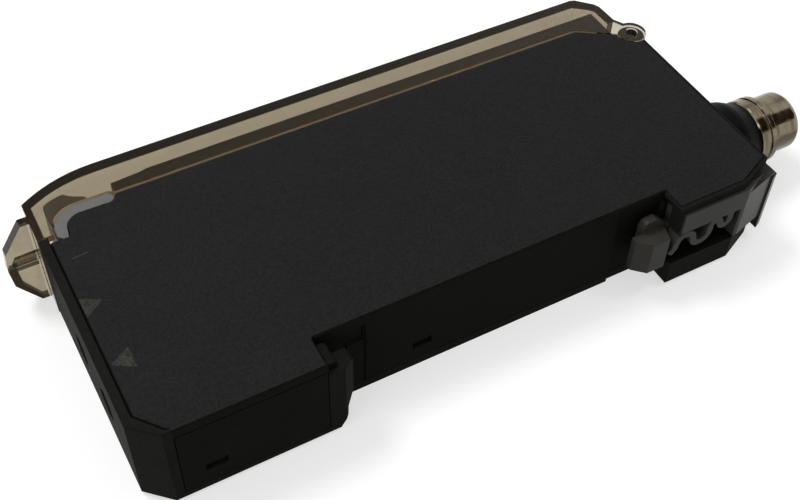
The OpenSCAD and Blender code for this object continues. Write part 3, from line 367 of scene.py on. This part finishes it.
def thin_roof(mesh):
    """Lifts the inner face of the lid's roof, which refraction makes look thicker than it is."""
    for v in mesh.vertices:
        if abs(v.co.z) < LID_INSIDE_Z * MM and v.co.y > LID_INSIDE_Y * MM:
            v.co.y += ROOF_LIFT * MM


def dress(obj, slot):
    """Gives a piece its material and its slot."""
    obj.data.materials.clear()
    obj.data.materials.append(MATERIALS[slot])


def paint_side_shade(piece, material):
    """Painted shade: every face that doesn't look straight up or down gets a separate copy of the
    plastic, with less gloss and its own tone, for how light falls on the sides.
    """
    piece.data.materials.append(material)
    for face in piece.data.polygons:
        face.material_index = 0 if abs(face.normal.z) > BROAD_FACE else 1


BROAD_FACE = 0.95    # how much of its direction a broad face has along Z
LID_INSIDE_Z = 4.6   # millimetres, here and below
LID_INSIDE_Y = 25.2
ROOF_LIFT = 0.25

pieces = dict(nodes)
pieces["lid"] = stand_in("lid", thin_roof)
for name, piece in pieces.items():
    dress(piece, slot_of[name])
# Painted shade on the sides of the case and the cover.
paint_side_shade(pieces["case"], MATERIALS["case_side_shade"])
paint_side_shade(pieces["side_cover"], MATERIALS["cover_side_shade"])


# Floor, light and background

def area_light(name, place, target, size, watts):
    """A round soft lamp that looks at a target. Metres and watts."""
    light = bpy.data.lights.new(name, "AREA")
    light.shape = "DISK"
    light.size = size
    light.energy = watts
    obj = bpy.data.objects.new(name, light)
    obj.location = place
    obj.rotation_euler = (Vector(target) - Vector(place)).to_track_quat("-Z", "Y").to_euler()
    bpy.context.scene.collection.objects.link(obj)


def dark_card(place, target, size):
    """A dark card beside the lamps that only reflections show, as in a product studio."""
    bpy.ops.mesh.primitive_plane_add(size=size, location=place)
    card = bpy.context.object
    card.name = "dark_card"
    card.rotation_euler = (Vector(target) - Vector(place)).to_track_quat("Z", "Y").to_euler()
    card.visible_camera = False
    card.visible_diffuse = False
    card.visible_transmission = False
    card.visible_shadow = False
    s = Shader("dark_card")
    s.set(Base_Color=s.mix(s.noise(60), *CARD_TONES), Roughness=1.0, Specular_IOR_Level=0.0)
    card.data.materials.append(s.material)


def seen_directly(tree):
    """1 for rays of the camera, of a reflection or through glass."""
    path = tree.nodes.new("ShaderNodeLightPath")
    seen = path.outputs["Is Camera Ray"]
    for ray in ("Is Glossy Ray", "Is Transmission Ray"):
        either = tree.nodes.new("ShaderNodeMath")
        either.operation = "MAXIMUM"
        tree.links.new(seen, either.inputs[0])
        tree.links.new(path.outputs[ray], either.inputs[1])
        seen = either.outputs["Value"]
    return seen


def make_floor():
    """A pale floor that looks white where no shadow falls on it."""
    bpy.ops.mesh.primitive_plane_add(size=FLOOR_SIZE, location=(0, 0, cad_box[0][2] - FLOOR_GAP))
    floor = bpy.context.object
    floor.name = "floor"
    s = Shader("floor")
    pale = s.mix(s.ramp(s.noise(40, 2), 0.3, 0.7), *FLOOR_TONES)
    s.set(Base_Color=pale, Roughness=0.9, Specular_IOR_Level=0.0)
    glow = s.add("ShaderNodeEmission")
    s.link(s.math("MULTIPLY", seen_directly(s.tree), FLOOR_GLOW), glow.inputs["Strength"])
    both = s.add("ShaderNodeAddShader")
    s.link(s.bsdf.outputs["BSDF"], both.inputs[0])
    s.link(glow.outputs["Emission"], both.inputs[1])
    s.link(both.outputs["Shader"], s.out.inputs["Surface"])
    floor.data.materials.append(s.material)


def make_world():
    """Soft light from all around, and white where the world itself is seen."""
    world = bpy.data.worlds.new("studio")
    bpy.context.scene.world = world
    world.use_nodes = True
    tree = world.node_tree
    strength = tree.nodes.new("ShaderNodeMapRange")
    tree.links.new(seen_directly(tree), strength.inputs["Value"])
    strength.inputs["To Min"].default_value = WORLD_LIGHT
    strength.inputs["To Max"].default_value = 1.0
    tree.links.new(strength.outputs["Result"], tree.nodes["Background"].inputs["Strength"])
    tree.nodes["Background"].inputs["Color"].default_value = (1, 1, 1, 1)


CARD_TONES = ((0.085, 0.064, 0.034), (0.10, 0.076, 0.042))
FLOOR_TONES = ((0.50, 0.50, 0.50), (0.53, 0.53, 0.53))
FLOOR_SIZE = 4       # metres
FLOOR_GAP = 0.00002  # metres below the object
FLOOR_GLOW = 0.55
WORLD_LIGHT = 0.5

make_floor()
make_world()
dark_card(place=(0.325, -0.230, 0.330), target=(0.035, 0.008, 0), size=0.30)
area_light("key", place=(-0.25, 0.35, 0.75), target=(0, 0.01, 0), size=0.30, watts=3.6)
area_light("fill", place=(-0.65, -0.20, 0.25), target=(0, 0.01, 0), size=0.40, watts=1.3)
area_light("glint", place=(0.27, -0.10, 0.65), target=(0.03, 0.005, 0), size=0.08, watts=0.45)

bpy.context.scene.view_settings.view_transform = "Standard"
